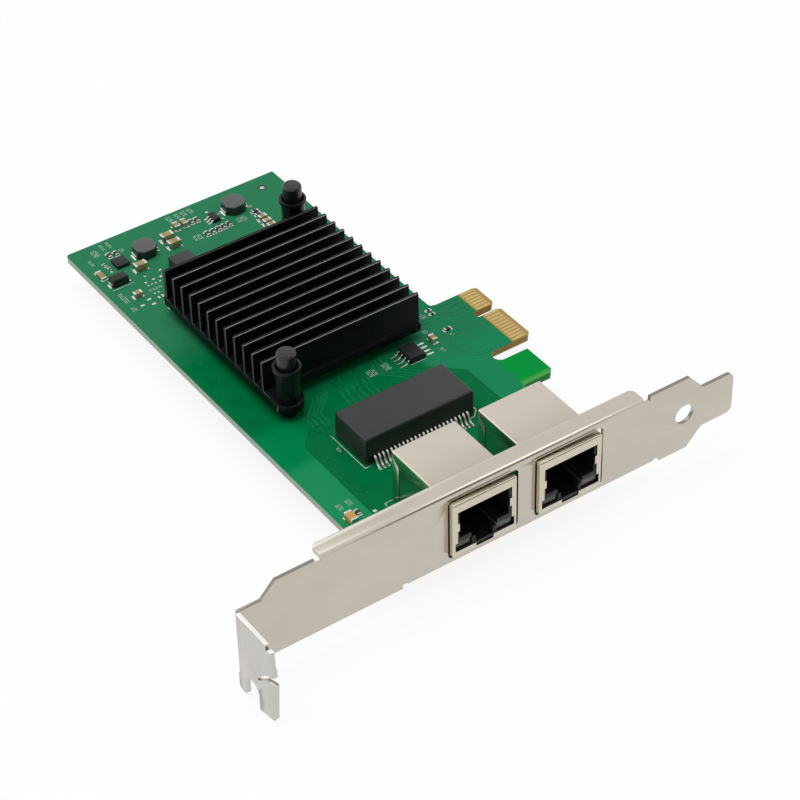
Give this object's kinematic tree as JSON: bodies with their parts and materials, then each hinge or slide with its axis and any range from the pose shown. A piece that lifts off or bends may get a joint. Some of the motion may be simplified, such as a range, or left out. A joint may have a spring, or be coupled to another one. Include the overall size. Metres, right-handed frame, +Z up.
{
  "type": "network interface card",
  "caption": "Server network card: a green circuit board with an edge connector, shielded network jacks behind a folded metal bracket, and a black finned heat sink held by push pins.",
  "frame": {"origin": "centre of the rounded end of the bracket's screw notch, on the outer face of the tab", "axes": "+X along the bracket, away from the tab; +Y from the bracket into the card; +Z up from the board's component side"},
  "size_m": [0.12, 0.1408, 0.0251],
  "materials": {
    "solder_mask": "green solder mask on fibre board, satin gloss",
    "gold": "gold flash, satin",
    "tin": "tinned, satin",
    "nickel": "nickel-plated sheet, satin",
    "shield": "nickel-plated tin sheet, satin",
    "screw": "zinc plated",
    "insert": "black moulded, satin",
    "green_lens": "translucent green",
    "clear_lens": "translucent clear",
    "mould": "black epoxy, fine matte",
    "anodised": "black anodised, satin",
    "soft_pad": "soft filled pad, matte",
    "black_nylon": "black nylon, glossy",
    "tan_ceramic": "fired, satin",
    "black_ceramic": "coated, satin",
    "ferrite": "ferrite, matte"
  },
  "bodies": {
    "root": {"circuit_board": "solder_mask", "edge_contacts_component_side": "gold", "edge_contacts_solder_side": "gold", "tinned_pads": "tin", "bracket": "nickel", "bracket_screws": "screw", "jack_shield_left": "shield", "jack_shield_right": "shield", "jack_insert_left": "insert", "jack_insert_right": "insert", "jack_contacts_left": "gold", "jack_contacts_right": "gold", "link_lamps": "green_lens", "activity_lamps": "clear_lens", "magnetics_body": "mould", "magnetics_leads": "tin", "controller_chip": "mould", "heat_pad": "soft_pad", "heat_sink": "anodised", "pin_sleeves": "black_nylon", "centre_pins": "black_nylon", "capacitor_bodies": "tan_ceramic", "capacitor_ends": "tin", "resistor_bodies": "black_ceramic", "resistor_ends": "tin", "coil_bodies": "ferrite", "coil_clips": "tin", "choke_body": "ferrite", "choke_clips": "tin", "diode_body": "mould", "diode_clips": "tin", "power_chip": "mould", "flash_chip": "mould", "flash_leads": "tin", "regulator_chip": "mould", "regulator_leads": "tin"}
  },
  "joints": []
}
